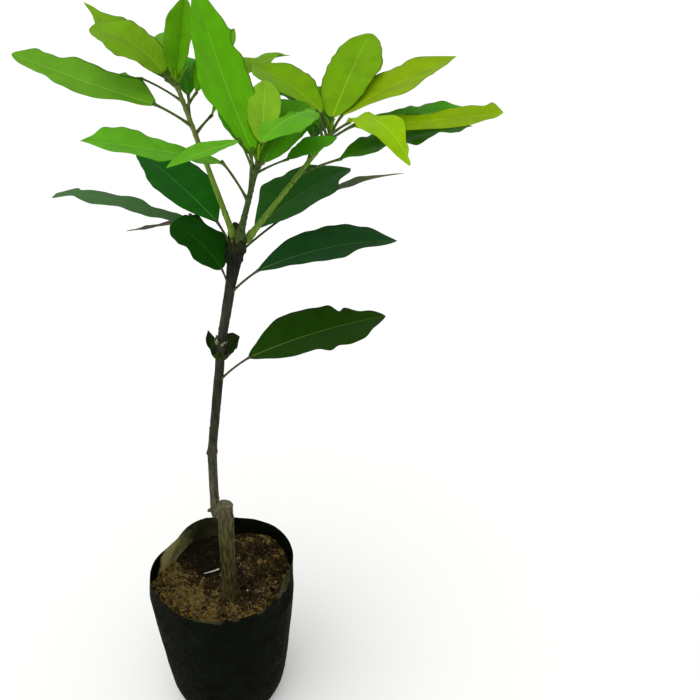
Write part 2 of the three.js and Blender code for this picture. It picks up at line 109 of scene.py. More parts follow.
LEAVES = {
    "left": [
        leaf(107, (190, 33, 37), (164, 15, 134, 42), -6, -22, 10, 0.5, "grass", 0.5,
             ((0.15, 1, 0.4, 0.09), (0.2, -1, -0.35, 0.15), (0.72, 1, -0.2, 0.07), (0.75, -1, -0.4, 0.12),
              (0.9, 1, 0.4, 0.05))),
        leaf(128, (140, 14, 53), (172, -5, 60, 28), 6, 0, 12, tone="grass"),
        leaf(140, (153, 27, 13), (139, 27, 116, 37), -4, -6, 14, 1.0, "olive", 0.6,
             ((0.85, -1, -0.5, 0.12), (0.85, 1, -0.2, 0.1))),
        leaf(140, (185, 48, 17), (167, 28, 72, 42), 50, -20, 8, 0.45, "olive", 1.0,
             ((0.55, -1, 0.25, 0.25),)),
        leaf(142, (130, 70, 5), (84, 48, 78, 30), -6, 0, 34, 0.6, "clover"),
        leaf(139, (151, 34, 8), (100, 22, 80, 34), 24, 0, 14, tone="grass"),
        leaf(122, (23, 51, 17), (64, 32, 80, 32), 14, 0, 14, tone="clover"),
        leaf(100, (53, 29, 25), (50, 19, 116, 22), 52, 4, 14, 0.8, "olive", 1.0,
             ((0.45, -1, 0.9, 0.2), (0.75, -1, 0.35, 0.1))),
    ],
    "middle": [
        leaf(48, (283, 66, 50), (132, 60, 130, 52), -14, 8, 10, 0.55, "spring", 0.35,
             ((0.67, 1, -0.22, 0.06), (0.745, 1, 0.12, 0.012), (0.42, -1, 0.28, 0.16))),
        leaf(84, (20, 72, 16), (88, 45, 58, 31), 20, 0, 22, 0.6, "pale"),
        leaf(80, (350, 30, 7), (52, 34, 68, 44), 20, 14, 16, 0.6, "shade", 1.0, ((0.72, -1, 0.4, 0.16),)),
        leaf(72, (15, 20, 30), (23, 16, 48, 24), 10, 14, 12, tone="mid"),
        leaf(42, (210, 59, 44), (207, 16, 117, 44), 8, -16, 14, 0.8, "fresh", 0.5,
             ((0.84, 1, 0.45, 0.07), (0.32, 1, -0.55, 0.2), (0.6, -1, 0.3, 0.15), (0.76, -1, 0.55, 0.1),
              (0.88, -1, 0.8, 0.06))),
        leaf(70, (241, 59, 41), (222, -6, 70, 21), 10, -10, 12, 0.8, "fresh", 0.5),
    ],
    "right": [
        leaf(119, (150, 64, 20), (148, 25, 80, 47), 24, -8, 12, 0.8, "lime", 0.6,
             ((0.62, -1, 0.32, 0.2), (0.85, -1, 0.4, 0.12))),
        leaf(115, (246, 48, 39), (238, -4, 84, 36), 36, -22, 8, 0.65, "fresh", 1.0,
             ((0.3, 1, -0.82, 0.28), (0.62, 1, -0.5, 0.18))),
        leaf(120, (80, 64, 14), (66, 32, 107, 51), 10, 0, 10, 0.55, "lime", 0.5,
             ((0.5, -1, -0.14, 0.2), (0.55, 1, 0.09, 0.1))),
        leaf(119, (27, 54, 19), (24, 20, 120, 46), 12, 8, 14, 0.8, "citrus", 0.3,
             ((0.4, 1, 0.45, 0.2), (0.66, 1, 0.15, 0.04), (0.5, -1, -0.15, 0.1), (0.62, -1, -0.15, 0.04))),
        leaf(117, (334, 37, 24), (300, -10, 95, 36), 84, 10, 12, 0.65, "bright", 0.5,
             ((0.32, -1, -0.6, 0.16), (0.6, -1, -0.15, 0.1), (0.78, -1, -0.5, 0.1), (0.93, -1, -0.7, 0.07),
              (0.5, 1, 0.25, 0.2))),
        leaf(108, (21, 25, 34), (352, 7, 126, 38), -6, 20, 10, 0.5, "citrus", 0.5,
             ((0.95, 1, 0.3, 0.04), (0.47, -1, -0.6, 0.2), (0.95, -1, 0.9, 0.04), (0.3, 1, -0.25, 0.15))),
        leaf(104, (37, 20, 49), (15, 0, 134, 38), 14, 0, 14, 0.8, "mid", 1.0, ((0.3, -1, -0.5, 0.1),)),
        leaf(75, (21, 14, 42), (19, 8, 134, 50), 16, 6, 14, tone="shade"),
    ],
}
# Leaves on the far side: count, first heading, spread of the headings, climb, length and width.
FAR_LEAVES = {
    "left": (2, 96, 30, 14, 76, 32),
    "middle": (2, 70, 50, 24, 80, 32),
    "right": (3, 76, 40, 12, 100, 36),
}
FAR_STALK = {"low": (30, 30), "high": (50, 14)}

TRUNK_LEAVES = {
    "fork_leaf_right": leaf(604, (40, 36, 30), (41, 15, 125, 58), 22, 12, 14, 0.75, "old", 0.6,
        ((0.8, 1, -0.35, 0.1), (0.28, -1, 0.22, 0.1), (0.8, -1, -0.15, 0.1))),
    "fork_leaf_far_right": leaf(600, (48, 15, 93), (26, 8.5, 122, 30), 24, -14, 8, 0.8, "bronze", 0.4),
    "fork_leaf_back_left": leaf(603, (134, 44, 35), (137, 21, 122, 54), 16, -12, 12, 0.8, "forest", 0.6,
        ((0.16, 1, 0.25, 0.14), (0.76, -1, -0.22, 0.2))),
    "fork_leaf_low": leaf(566, (237, 68, 29), (156, 35, 63, 37), 44, -20, 6, 0.5, "emerald", 0.5,
        ((0.33, 1, 0.42, 0.14), (0.8, 1, 0.55, 0.1), (0.94, 1, 0.9, 0.06),
         (0.3, -1, 0.05, 0.1), (0.55, -1, -0.2, 0.1), (0.9, -1, 0.2, 0.08))),
    "fork_leaf_left": leaf(598, (138, 17, 62), (166, 8.5, 139, 41), 23, 6, 2, 0.45, "dusty", 0.35,
        ((0.33, 1, -0.45, 0.1), (0.94, 1, 1.6, 0.05), (0.6, -1, 0.2, 0.2),
         (0.84, -1, -0.3, 0.05), (0.94, -1, 1.8, 0.05))),
    "fork_leaf_far_left": leaf(602, (126, 10, 81), (138.5, -21.5, 118, 11), -6, 25, 4, 0.8, "withered", 0.3),
    "upper_stem_leaf": leaf(561, (333, 45, 46), (16, 6, 136, 54), 26, 12, 12, 0.8, "dark", 0.6,
        ((0.2, 1, -0.3, 0.12), (0.7, 1, -0.45, 0.12), (0.87, -1, 0.3, 0.08))),
    "lower_stem_leaf": leaf(466, (335, 46, 53), (18, 9, 143, 58), 16, 14, 12, 0.65, "bottle", 0.6,
        ((0.25, -1, 0.15, 0.12), (0.4, -1, 0.12, 0.12), (0.5, 1, 0.22, 0.05),
         (0.75, 1, 0.35, 0.12), (0.6, -1, -0.08, 0.1), (0.7, -1, -0.26, 0.03),
         (0.84, -1, -0.25, 0.1))),
    # Both bud leaflets take the tone of painted shadow.
    "bud_leaflet_left": leaf(492, (190, 45, 8), (172, 80, 28, 12), -24, -50, 30, 0.8, "painted_shadow", 1.0,
        ((0.3, -1, -0.45, 0.2), (0.35, 1, 0.7, 0.25))),
    "bud_leaflet_right": leaf(493, (350, 30, 12), (354, 62, 24, 23), 60, 50, 30, 0.8, "painted_shadow", 1.0,
        ((0.82, 1, 0.7, 0.12), (0.9, -1, 0.3, 0.1))),
}

# ---- Numbers and directions ----

WORD = 0xFFFFFFFF


def seeded(seed):
    """The same numbers every time, from 0 to 1, as the part's source draws them."""
    state = seed

    def draw():
        nonlocal state
        state = (state + 0x6D2B79F5) & WORD
        mixed = ((state ^ (state >> 15)) * (1 | state)) & WORD
        mixed = ((mixed + (((mixed ^ (mixed >> 7)) * (61 | mixed)) & WORD)) & WORD) ^ mixed
        return ((mixed ^ (mixed >> 14)) & WORD) / 4294967296

    return draw


def direction(heading, climb):
    level = np.cos(climb * RADIANS)
    x = level * np.cos(heading * RADIANS)
    y = level * np.sin(heading * RADIANS)
    return np.stack(np.broadcast_arrays(x, y, np.sin(climb * RADIANS)), axis=-1)


def along(rows, key):
    """Reads rows of (key, value, ...) at one key or many, straight between the rows."""
    table = np.array(rows, float)
    return np.stack([np.interp(key, table[:, 0], column) for column in table[:, 1:].T], axis=-1)


def noise(points, pitch, seed):
    """Smooth noise from about -1 to 1, with a bump every `pitch`: one, or one for each axis."""
    scaled = points / np.asarray(pitch, float)
    cell = np.floor(scaled).astype(np.int64)
    fade = scaled - cell
    fade = fade * fade * (3 - 2 * fade)
    total = np.zeros(len(points))
    for corner in np.ndindex(2, 2, 2):
        at = cell + corner
        mixed = (at[:, 0] * 73856093) ^ (at[:, 1] * 19349663) ^ (at[:, 2] * 83492791) ^ (seed * 265443576)
        mixed = (mixed & WORD) * 2246822519 & WORD
        mixed = ((mixed ^ (mixed >> 15)) * 3266489917) & WORD
        value = (mixed ^ (mixed >> 13)) / 2147483648 - 1
        total += value * np.prod(np.where(corner, fade, 1 - fade), axis=1)
    return total


def layers(points, rows):
    """Noise in layers: rows of (height, pitch, seed)."""
    return sum(height * noise(points, pitch, seed) for height, pitch, seed in rows)


def bump(distance, spread):
    return np.exp(-((distance / spread) ** 2))


def full_turn(sides):
    return np.linspace(0, 2 * np.pi, sides, endpoint=False)


def turned(turn, heading):
    """How far a turn is from a heading, the short way round, in radians."""
    return np.angle(np.exp(1j * (turn - heading)))


# ---- Paths and skins ----


def bent_path(start, course, droop=0, roll=0):
    """A path that bends evenly: t from 0 to 1 gives points, and what is sideways and up there."""
    heading, climb, length = course
    begin = (climb + droop / 2) * RADIANS
    bend = droop * RADIANS

    def path(t):
        t = np.asarray(t, float)
        if abs(bend) < 1e-6:
            level = np.cos(begin) * t
            rise = np.sin(begin) * t
        else:
            level = (np.sin(begin) - np.sin(begin - bend * t)) / bend
            rise = (np.cos(begin - bend * t) - np.cos(begin)) / bend
        flat = direction(heading, 0)
        away = level[..., None] * flat + rise[..., None] * np.array([0, 0, 1])
        at = np.asarray(start, float) + length * away
        tangent = direction(heading, climb - droop * (t - 0.5))
        side = np.broadcast_to(direction(heading - 90, 0), tangent.shape)
        up = np.cross(side, tangent)
        turn = roll * RADIANS
        return at, side * math.cos(turn) - up * math.sin(turn), up * math.cos(turn) + side * math.sin(turn)

    return path


def tube(path, t, radius, sides):
    """Rings of points round a path, one for each t."""
    at, side, up = path(t)
    turn = full_turn(sides)
    around = side[:, None] * np.cos(turn)[:, None] + up[:, None] * np.sin(turn)[:, None]
    return at[:, None] + around * np.broadcast_to(radius, (len(at), sides))[..., None]


class Skin:
    """Gathers closed shells, with a paint's number for each face, and makes them one piece."""

    def __init__(self):
        self.points = []
        self.faces = []
        self.paint = []
        self.count = 0

    def rings(self, rings, paint=0):
        """A closed shell through rings, with one paint or one for each face between rings."""
        steps, sides, _ = rings.shape
        row, column = np.meshgrid(np.arange(steps - 1), np.arange(sides), indexing="ij")
        low, high = row * sides + column, row * sides + (column + 1) % sides
        quads = np.stack([low, high, high + sides, low + sides], axis=-1).reshape(-1, 4)
        last = steps * sides
        end = last - sides
        first_fan = [(last, (i + 1) % sides, i) for i in range(sides)]
        last_fan = [(last + 1, end + i, end + (i + 1) % sides) for i in range(sides)]
        painted = np.broadcast_to(paint, (steps - 1, sides))
        self.points += [rings.reshape(-1, 3), [rings[0].mean(0), rings[-1].mean(0)]]
        self.faces += [tuple(int(i) + self.count for i in face) for face in [*quads, *first_fan, *last_fan]]
        self.paint += [*painted.reshape(-1), *painted[0], *painted[-1]]
        self.count += last + 2

    def piece(self, name, materials, slot, *nodes):
        shape = bpy.data.meshes.new(name)
        shape.from_pydata((np.concatenate(self.points) * MM).tolist(), [], self.faces)
        for item in materials:
            shape.materials.append(item)
        shape.polygons.foreach_set("material_index", np.array(self.paint, np.int32))
        shape.polygons.foreach_set("use_smooth", np.full(len(self.faces), True))
        shape.update()
        made = bpy.data.objects.new(name, shape)
        bpy.context.collection.objects.link(made)
        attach(made, "root")
        if nodes:
            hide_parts(*nodes)


# ---- Materials ----


def linear(colour):
    """A screen colour of 0 to 255 as the shader's own red, green, blue and alpha."""
    share = np.array(colour) / 255
    return (*np.where(share <= 0.04045, share / 12.92, ((share + 0.055) / 1.055) ** 2.4), 1)


def finish(name, colour, roughness, gloss):
    """A material with one colour so far, and its gloss as the shader's specular level."""
    made = bpy.data.materials.new(name)
    made.use_nodes = True
    shader = made.node_tree.nodes["Principled BSDF"].inputs
    shader["Base Color"].default_value = linear(colour)
    shader["Roughness"].default_value = roughness
    shader["Specular IOR Level"].default_value = gloss
    return made


def node(tree, kind, **settings):
    made = tree.nodes.new(kind)
    for key, value in settings.items():
        if key in made.inputs:
            made.inputs[key].default_value = value
        else:
            setattr(made, key, value)
    return made


def grain(tree, pitch, detail, stretch=1):
    """Noise with a bump every `pitch` millimetres, drawn out along the height by `stretch`."""
    place = node(tree, "ShaderNodeTexCoord")
    scale = node(tree, "ShaderNodeMapping", Scale=[1 / (pitch * MM * s) for s in (1, 1, stretch)])
    texture = node(tree, "ShaderNodeTexNoise", Scale=1.0, Detail=detail)
    tree.links.new(place.outputs["Object"], scale.inputs["Vector"])
    tree.links.new(scale.outputs["Vector"], texture.inputs["Vector"])
    return texture.outputs["Fac"]


def ramp(tree, source, stops):
    """Colours, or levels, along a value from 0 to 1: rows of (place, colour or level)."""
    made = node(tree, "ShaderNodeValToRGB")
    row = made.color_ramp.elements
    for index, (place, value) in enumerate(stops):
        stop = row[index] if index < 2 else row.new(place)
        stop.position = place
        stop.color = (value, value, value, 1) if isinstance(value, (int, float)) else linear(value)
    tree.links.new(source, made.inputs["Fac"])
    return made.outputs["Color"]


def drive(tree, socket, source, stops):
    """Sets a socket of the shader along a value from 0 to 1."""
    tree.links.new(ramp(tree, source, stops), tree.nodes["Principled BSDF"].inputs[socket])


def shades(colour, stops):
    """Stops of one colour: rows of (place, share of the colour)."""
    return [(place, tuple(share * np.array(colour))) for place, share in stops]


def relief(tree, source, height):
    """Bump of a height in millimetres."""
    made = node(tree, "ShaderNodeBump", Distance=height * MM)
    tree.links.new(source, made.inputs["Height"])
    tree.links.new(made.outputs["Normal"], tree.nodes["Principled BSDF"].inputs["Normal"])


# The leaves' tones: blade, rib and roughness.
TONES = {
    "spring": ((86, 160, 5), (116, 178, 44), 0.5),
    # The clover tone's rib is darker than its blade: painted shadow down the folded midrib.
    "clover": ((80, 140, 2), (56, 110, 10), 0.5),
    "fresh": ((88, 158, 26), (120, 178, 56), 0.5),
    "grass": ((94, 150, 30), (122, 170, 58), 0.5),
    "olive": ((104, 149, 14), (128, 166, 42), 0.5),
    "lime": ((102, 148, 1), (134, 170, 36), 0.5),
    "citrus": ((122, 156, 1), (146, 176, 34), 0.5),
    "bright": ((131, 174, 1), (156, 192, 42), 0.48),
    "pale": ((118, 166, 30), (148, 188, 70), 0.45),
    "mid": ((68, 144, 3), (96, 160, 36), 0.5),
    "shade": ((60, 122, 2), (88, 138, 30), 0.5),
    "emerald": ((15, 63, 4), (50, 92, 30), 0.5),
    "forest": ((27, 94, 16), (72, 126, 52), 0.5),
    "bottle": ((27, 61, 1), (86, 110, 44), 0.5),
    "dark": ((26, 67, 28), (70, 104, 58), 0.42),
    "old": ((44, 94, 31), (76, 116, 52), 0.5),
    "dusty": ((66, 107, 54), (88, 124, 72), 0.6),
    "bronze": ((78, 92, 54), (104, 112, 76), 0.6),
    # This tone is painted shadow: near black, for the bud leaflets that sit in the crown's shade.
    "painted_shadow": ((22, 37, 6), (44, 60, 22), 0.5),
    "withered": ((66, 64, 44), (84, 76, 56), 0.6),
}


def leaf_finish(name, colour, roughness, spread=0.05):
    """A leaf's skin: one base colour, lightly mottled, with a fine grain and an uneven gloss."""
    made = finish(name, colour, roughness, gloss=0.05)
    tree = made.node_tree
    blotch = grain(tree, pitch=14, detail=4)
    drive(tree, "Base Color", blotch, shades(colour, [(0.3, 1 - spread), (0.7, 1 + spread)]))
    relief(tree, grain(tree, pitch=1.1, detail=2), height=0.12)
    drive(tree, "Roughness", blotch, [(0.3, roughness - 0.06), (0.7, roughness + 0.08)])
    return made


def leaf_materials():
    """The blade's and the rib's finish of every tone, in pairs."""
    made = []
    for name, (blade, rib, roughness) in TONES.items():
        made += [leaf_finish(f"{name}_leaf", blade, roughness), leaf_finish(f"{name}_rib", rib, 0.5, 0.04)]
    return made


def tone_paint(tone):
    return 2 * list(TONES).index(tone)


# Upright streaks: dark and light colour, roughness, and the streaks' pitch and height.
STREAKED = {
    "graft": ((50, 46, 24), (104, 100, 74), 0.8, 2.2, 0.5),
    "cut_wood": ((70, 68, 50), (122, 118, 96), 0.8, 1.2, 0.3),
    "green_shoot": ((80, 114, 24), (114, 142, 46), 0.5, 2, 0.15),
    "olive_shoot": ((80, 92, 36), (118, 124, 62), 0.5, 2, 0.15),
    "dark_shoot": ((34, 50, 18), (66, 86, 36), 0.5, 2, 0.15),
    "brown_stalk": ((40, 46, 26), (78, 82, 50), 0.5, 2, 0.1),
    "green_stalk": ((52, 72, 24), (86, 108, 46), 0.5, 2, 0.1),
    "dark_scale": ((19, 22, 8), (46, 46, 20), 0.7, 1.5, 0.1),
    "green_scale": ((56, 66, 18), (92, 100, 40), 0.6, 1.5, 0.1),
    "pale_scale": ((96, 104, 66), (150, 154, 116), 0.6, 1.5, 0.1),
    "sheath": ((16, 24, 8), (36, 44, 18), 0.6, 1.5, 0.1),
    "dark_clod": ((12, 8, 2), (30, 22, 8), 0.95, 2, 0.3),
    "brown_clod": ((36, 25, 9), (76, 58, 32), 0.95, 2, 0.3),
    "tan_clod": ((74, 60, 28), (130, 110, 64), 0.95, 2, 0.3),
    "tan_fibre": ((90, 74, 38), (150, 128, 80), 0.9, 3, 0.1),
    "brown_fibre": ((36, 28, 10), (70, 56, 26), 0.9, 3, 0.1),
    "pale_root": ((180, 174, 150), (226, 222, 204), 0.8, 3, 0.1),
    "coarse_clod": ((62, 48, 32), (108, 90, 66), 0.95, 2, 0.3),
}


def streaked(name):
    low, high, roughness, pitch, height = STREAKED[name]
    made = finish(name, low, roughness, gloss=0.15)
    tree = made.node_tree
    streaks = grain(tree, pitch, detail=5, stretch=5)
    drive(tree, "Base Color", streaks, [(0.35, low), (0.68, high)])
    relief(tree, streaks, height)
    return made


# The bark's dark and light streaks from the soil, 0, to the fork's top, 1.
BARK_SHADES = [
    (0.0, (30, 26, 10), (84, 74, 38)), (0.22, (32, 32, 12), (84, 82, 40)), (0.3, (40, 38, 26), (94, 90, 68)),
    (0.45, (35, 34, 25), (72, 68, 54)), (0.63, (18, 18, 9), (44, 44, 27)), (0.82, (30, 32, 24), (62, 64, 50)),
    (0.95, (7, 10, 4), (20, 27, 15)), (1.0, (22, 30, 10), (56, 68, 26)),
]


def trunk_finish():
    """Bark that goes from grey-brown at the soil to near black-green at the fork."""
    made = finish("bark", (60, 58, 48), roughness=0.8, gloss=0.15)
    tree = made.node_tree
    streaks = grain(tree, pitch=3, detail=6, stretch=5)
    place = node(tree, "ShaderNodeTexCoord")
    split = node(tree, "ShaderNodeSeparateXYZ")
    ends = {"From Min": SOIL_HEIGHT * MM, "From Max": FORK_TOP * MM}
    span = node(tree, "ShaderNodeMapRange", **ends)
    tree.links.new(place.outputs["Object"], split.inputs["Vector"])
    tree.links.new(split.outputs["Z"], span.inputs["Value"])
    mix = node(tree, "ShaderNodeMix", data_type="RGBA")
    tree.links.new(ramp(tree, streaks, [(0.35, 0.0), (0.7, 1.0)]), mix.inputs["Factor"])
    for column, socket in ((1, mix.inputs[6]), (2, mix.inputs[7])):
        stops = [(row[0], row[column]) for row in BARK_SHADES]
        tree.links.new(ramp(tree, span.outputs["Result"], stops), socket)
    tree.links.new(mix.outputs[2], tree.nodes["Principled BSDF"].inputs["Base Color"])
    relief(tree, streaks, height=0.5)
    return made


FILM_COLOUR = np.array((9, 12, 6))
DUST_COLOUR = np.array((136, 129, 84))
DUST_SHARES = [0, 0.3, 0.5, 0.75, 1]


def film_finish(dust_share):
    """Polythene with scuffs and a breath of dust, in a mix of film and dust."""
    colour = FILM_COLOUR + dust_share * (DUST_COLOUR - FILM_COLOUR)
    made = finish(f"film_{round(100 * dust_share)}", tuple(colour), roughness=0.5, gloss=0.012)
    tree = made.node_tree
    breath = tuple(colour + [5, 5, 3])
    stops = [*shades(colour, [(0.4, 0.75), (0.6, 1.2)]), (0.8, breath)]
    drive(tree, "Base Color", grain(tree, pitch=26, detail=6), stops)
    scuffs = grain(tree, pitch=5, detail=5)
    drive(tree, "Roughness", scuffs, [(0.35, 0.5), (0.7, 0.8)])
    relief(tree, scuffs, height=0.1)
    return made


# The wettest soil also stands for painted shade: the hollow at the back left and the stub's shadow.
SOILS = {"wet_soil_and_painted_shade": (17, 13, 3), "damp_soil": (36, 28, 8), "dry_soil": (86, 70, 30)}


def soil_finish(name):
    """Crumbly soil from less than half as light as its colour to well over it."""
    made = finish(name, SOILS[name], roughness=0.95, gloss=0.1)
    tree = made.node_tree
    crumbs = grain(tree, pitch=4, detail=8)
    lightness = [(0.32, 0.4), (0.46, 0.85), (0.58, 1.25), (0.74, 1.7)]
    drive(tree, "Base Color", crumbs, shades(SOILS[name], lightness))
    relief(tree, crumbs, height=1.2)
    return made


# ---- Leaves ----

BLADE_STEPS = 96
BLADE_COLUMNS = 11
RIB_COLUMNS = 2
BLADE_THICKNESS = 0.45
EDGE_THINNING = 0.6
CUP = 0.3
WOBBLE = {"depth": 0.015, "rate": 3.1}
FINE_WAVE = {"share": 0.2, "rate": 2.7}
RIB = {"width": 1.1, "above": 0.22, "below": 0.9, "width_ends": 1.25, "height_ends": 1.1, "full_length": 100}
VEIN = {"pitch": 7.0, "height": 0.2, "slant": 0.75, "bow": 0.6}
# A leaflet has half of a leaf's rings, and a scale a quarter.
LEAFLET_LENGTH = 60
SCALE_LENGTH = 10
STALK = {"radius": 1.1, "sides": 12, "step": 1.2, "end": 1.02, "blade_foot": 0.95}
SLIM_STALK = {"least": 0.55, "length": 200}
KNUCKLE = {"length": 9, "swell": 0.45, "at_limb": 1.3, "neck": 4}


def blade_share(t, full):
    rise = np.sin(np.pi / 2 * np.clip(t / BLADE_WIDEST, 0, 1))
    fall = np.cos(np.pi / 2 * np.clip((t - BLADE_WIDEST) / (1 - BLADE_WIDEST), 0, 1))
    return rise**full * fall ** (full + 0.1)


def blade_halves(made, t, plain, rib, rate, phase):
    """Half the blade's width on each side, with the margin's wobble, bites and lobes."""
    halves = {}
    for sign in (1, -1):
        margin = 1 + WOBBLE["depth"] * np.sin(2 * np.pi * (rate * t + phase + sign))
        for place, side, depth, spread in made["edge"]:
            if side == sign:
                margin = margin + depth * bump(t - place, spread)
        halves[sign] = np.maximum(plain * margin, rib * 1.05)
    return halves


def blade_rings(start, made, number):
    """A blade's rings, over the top and back below, and which of their columns are rib."""
    heading, climb, length, width = made["blade"]
    steps = BLADE_STEPS // (1 if length > LEAFLET_LENGTH else 2 if length > SCALE_LENGTH else 4)
    t = np.linspace(0, 1, steps) ** 0.97
    at, side, up = bent_path(start, (heading, climb, length), made["droop"], made["roll"])(t)
    draw = seeded(LEAF_SEED + number)
    ripple = BLADE_RIPPLE * length * (0.5 + draw()) * made["wave"]
    waves = 2 + draw()
    phases = {1: draw(), -1: draw()}
    share = blade_share(t, made["full"])
    fineness = min(length / RIB["full_length"], 1)
    rib = RIB["width"] / 2 * (RIB["width_ends"] - t) * fineness
    halves = blade_halves(made, t, share * width / 2, rib, WOBBLE["rate"] * waves, phases[1])
    fold = made["fold"] * RADIANS
    rank = np.arange(-BLADE_COLUMNS, BLADE_COLUMNS + 1)
    outward = np.clip((np.abs(rank) - RIB_COLUMNS) / (BLADE_COLUMNS - RIB_COLUMNS), 0, 1) ** 0.92
    skins = []
    for face, ridge in ((1, RIB["above"]), (-1, RIB["below"])):
        crest = ridge * (RIB["height_ends"] - t)
        columns = []
        for j, out in zip(rank, outward):
            sign = 1 if j >= 0 else -1
            reach, phase = halves[sign], phases[sign]
            off = rib * min(abs(j), RIB_COLUMNS) / RIB_COLUMNS + (reach - rib) * out
            u = off / reach
            wave = ripple * share * u**3 * np.sin(2 * np.pi * (waves * t + phase))
            fine = np.sin(2 * np.pi * (FINE_WAVE["rate"] * waves * t + 3 * phase))
            wave = wave + FINE_WAVE["share"] * ripple * share * u**2 * fine
            lift = reach * math.sin(fold) * ((1 + CUP) * u - CUP * u * u)
            vein = (t * length - off * VEIN["slant"]) / VEIN["pitch"] - VEIN["bow"] * u * u
            fade = share * np.sin(np.pi * np.clip(u, 0, 1)) ** 0.5
            quilt = VEIN["height"] * np.cos(2 * np.pi * vein) * fade
            thick = BLADE_THICKNESS / 2 * (1 - EDGE_THINNING * u)
            peak = crest * max(0, 1 - abs(j) / RIB_COLUMNS) * fineness
            height = lift + wave + quilt + face * (thick + peak)
            columns.append(at + side * (sign * off * math.cos(fold))[:, None] + up * height[:, None])
        skins.append(np.stack(columns, axis=1))
    top, below = skins
    # The margins are shared by both skins.
    rings = np.concatenate([top[:, ::-1], below[:, 1:-1]], axis=1)
    is_rib = np.zeros(rings.shape[1], int)
    for middle in (BLADE_COLUMNS, len(is_rib) - BLADE_COLUMNS):
        is_rib[middle - RIB_COLUMNS:middle + RIB_COLUMNS] = 1
    return rings, is_rib


def add_leaf(blades, stalks, root, made, number, stalk_paint=0):
    """A leaf on its stalk, which swells at the limb and at the blade."""
    path = bent_path(root, made["stalk"], STALK_DROOP)
    length = made["stalk"][2]
    t = np.linspace(0, STALK["end"], max(8, int(length / STALK["step"])))
    slim = STALK["radius"] * min(1, SLIM_STALK["least"] + made["blade"][2] / SLIM_STALK["length"])
    foot = KNUCKLE["at_limb"] * bump(t * length, KNUCKLE["length"])
    neck = bump((1 - t) * length, KNUCKLE["neck"])
    radius = slim * (1 + KNUCKLE["swell"] * (foot + neck))
    stalks.rings(tube(path, t, radius[:, None], STALK["sides"]), stalk_paint)
    rings, is_rib = blade_rings(path(STALK["blade_foot"])[0], made, number)
    blades.rings(rings, tone_paint(made["tone"]) + is_rib)


# ---- Shoots and crowns ----

SCAR_RING = {"height": 0.12, "spread": 0.012}
SCAR_GROOVE = {"depth": 0.05, "past": 0.02, "spread": 0.008}
SHOOT_FOOT = {"swell": 0.5, "length": 13}
TUFT = {"leaflets": 3, "length": 18, "width": 3.74}
LIMB_GAP = 0.3


def limb_rings(shoot, t, swell, sides, seed, scars):
    """Rings of a green limb, with faint ridges along it and a ring at each scar."""
    path = bent_path(shoot["start"], shoot["course"])
    thick, thin = shoot["radii"]
    radius = ((thick + (thin - thick) * t) * swell)[:, None]
    plain = tube(path, t, radius, sides).reshape(-1, 3)
    rough = layers(plain, [(0.04, (1.6, 1.6, 14), seed), (0.02, 1.1, seed + 1)]).reshape(len(t), sides)
    ring = np.zeros(len(t))
    for place in scars:
        ring += SCAR_RING["height"] * bump(t - place, SCAR_RING["spread"])
        ring -= SCAR_GROOVE["depth"] * bump(t - place - SCAR_GROOVE["past"], SCAR_GROOVE["spread"])
    return tube(path, t, radius * (1 + rough + ring[:, None]), sides)


def far_leaves(shoot, count, first, spread, climb, size, width):
    """The far side's leaves, by the same rule and draws as the part's source."""
    draw = seeded(shoot["course"][0])
    length = shoot["course"][2]
    made = []
    for i in range(count):
        rise = (i + 0.5) / count
        heading = first + (i * GOLDEN_ANGLE) % spread
        steep = climb * (0.6 + 0.8 * rise) + 6 * draw()
        stalk = [low + (high - low) * rise for low, high in zip(FAR_STALK["low"], FAR_STALK["high"])]
        blade = (heading + 10 * draw(), steep, size * (0.9 + 0.2 * draw()), width)
        at = shoot["crown"] + (length - shoot["crown"]) * (0.3 + 0.6 * rise)
        made.append(leaf(at, (heading, *stalk), blade, 20 + 10 * draw(), tone="mid"))
    return made


def add_tuft(blades, tip, number):
    """The unopened leaflets round a shoot's tip, folded shut."""
    draw = seeded(LEAF_SEED + number)
    for i in range(TUFT["leaflets"]):
        heading = i * GOLDEN_ANGLE + 30 * draw()
        climb = 50 + 25 * draw()
        blade = (heading, climb, TUFT["length"] * (0.7 + 0.5 * draw()), TUFT["width"])
        rings, is_rib = blade_rings(tip, leaf(0, None, blade, droop=12, fold=48, full=0.6), number + i)
        blades.rings(rings, tone_paint("olive") + is_rib)


def make_crown(side, first, leaf_skins, twig_skins):
    shoot = SHOOTS[side]
    path = bent_path(shoot["start"], shoot["course"])
    length = shoot["course"][2]
    rows = LEAVES[side] + far_leaves(shoot, *FAR_LEAVES[side])
    blades, twigs = Skin(), Skin()
    t = np.arange((shoot["crown"] + LIMB_GAP) / length, 1, SKIN_STEP / length)
    scars = [row["at"] / length for row in rows]
    twigs.rings(limb_rings(shoot, t, 1, 20, first, scars))
    for i, row in enumerate(rows):
        add_leaf(blades, twigs, path(row["at"] / length)[0], row, first + i, 1)
    add_tuft(blades, path(0.99)[0], first)
    blades.piece(f"{side}_crown_leaves", leaf_skins, "young_leaf", f"{side}_crown")
    twigs.piece(f"{side}_crown_twigs", twig_skins, "shoot", f"{side}_crown")
    return first + len(rows)


def make_shoot(side, materials, seed):
    shoot = SHOOTS[side]
    length = shoot["course"][2]
    crown = shoot["crown"] / length
    t = np.arange(0, crown, SKIN_STEP / length)
    foot = 1 + SHOOT_FOOT["swell"] * bump(t * length, SHOOT_FOOT["length"])
    limb = Skin()
    limb.rings(limb_rings(shoot, t, foot, 24, seed, [0.08, 0.2, 0.86 * crown]))
    limb.piece(f"{side}_shoot_bark", materials, "shoot", f"{side}_shoot")


# ---- Trunk ----

BARK, GRAFT, CUT_WOOD = range(3)
LENTICEL = {"tall": 0.9, "wide": 0.55}
SCION_SIDES = 44
SCION_MEAN_RADIUS = 5
SCION_GRAIN = [(0.28, (2.2, 2.2, 16), 3), (0.14, 1.3, 4)]
FORK_KNOBS = [(0.7, 4.5, 5)]
FORK_KNOBS_SPREAD = 14
LEAF_SCARS = {"count": 13, "first": 24, "pitch": 23}
